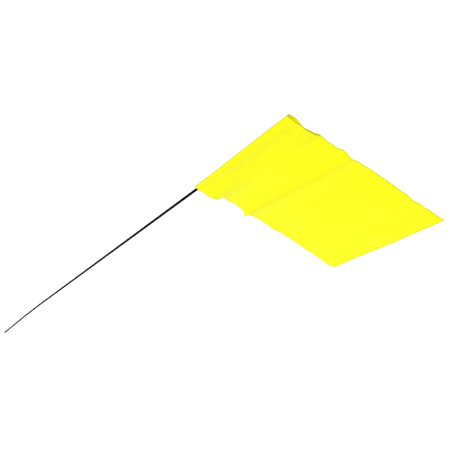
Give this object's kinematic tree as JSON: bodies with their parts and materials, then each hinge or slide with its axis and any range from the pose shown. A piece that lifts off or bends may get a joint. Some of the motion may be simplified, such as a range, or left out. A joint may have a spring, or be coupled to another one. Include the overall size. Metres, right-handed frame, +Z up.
{
  "type": "wire marking flag",
  "caption": "Rectangular plastic film marking flag hemmed and glued round the top of a thin steel wire stake.",
  "frame": {"origin": "centre of the wire's cut foot, the end that is pushed into the ground", "axes": "+Z up along the straight upper run of the wire, +X from the wire to the free fly edge of the flag, +Y to the face of the flag that carries the folded-over tail of the hem"},
  "size_m": [0.127, 0.0024, 0.6156],
  "materials": {
    "wire_steel": "satin",
    "hem_glue": "satin",
    "flag_film": "satin"
  },
  "bodies": {
    "staff": {"staff_wire": "wire_steel", "hem_adhesive": "hem_glue", "film_hem": "flag_film"},
    "inner_flag": {"film_inner_panel": "flag_film", "film_lap": "flag_film"},
    "outer_flag": {"film_outer_panel": "flag_film"}
  },
  "joints": [
    {"name": "flag_swing", "type": "hinge", "parent": "staff", "child": "inner_flag", "pos_m": [0.00535, 0, 0.5648], "axis": [0, 0, 1], "range_deg": [-135, 135], "stiffness_Nm_per_rad": 0.00005},
    {"name": "flag_fold", "type": "hinge", "parent": "inner_flag", "child": "outer_flag", "pos_m": [0.04025, -0.00013, 0.5648], "axis": [0, 0, 1], "range_deg": [-135, 135], "stiffness_Nm_per_rad": 0.00005}
  ]
}
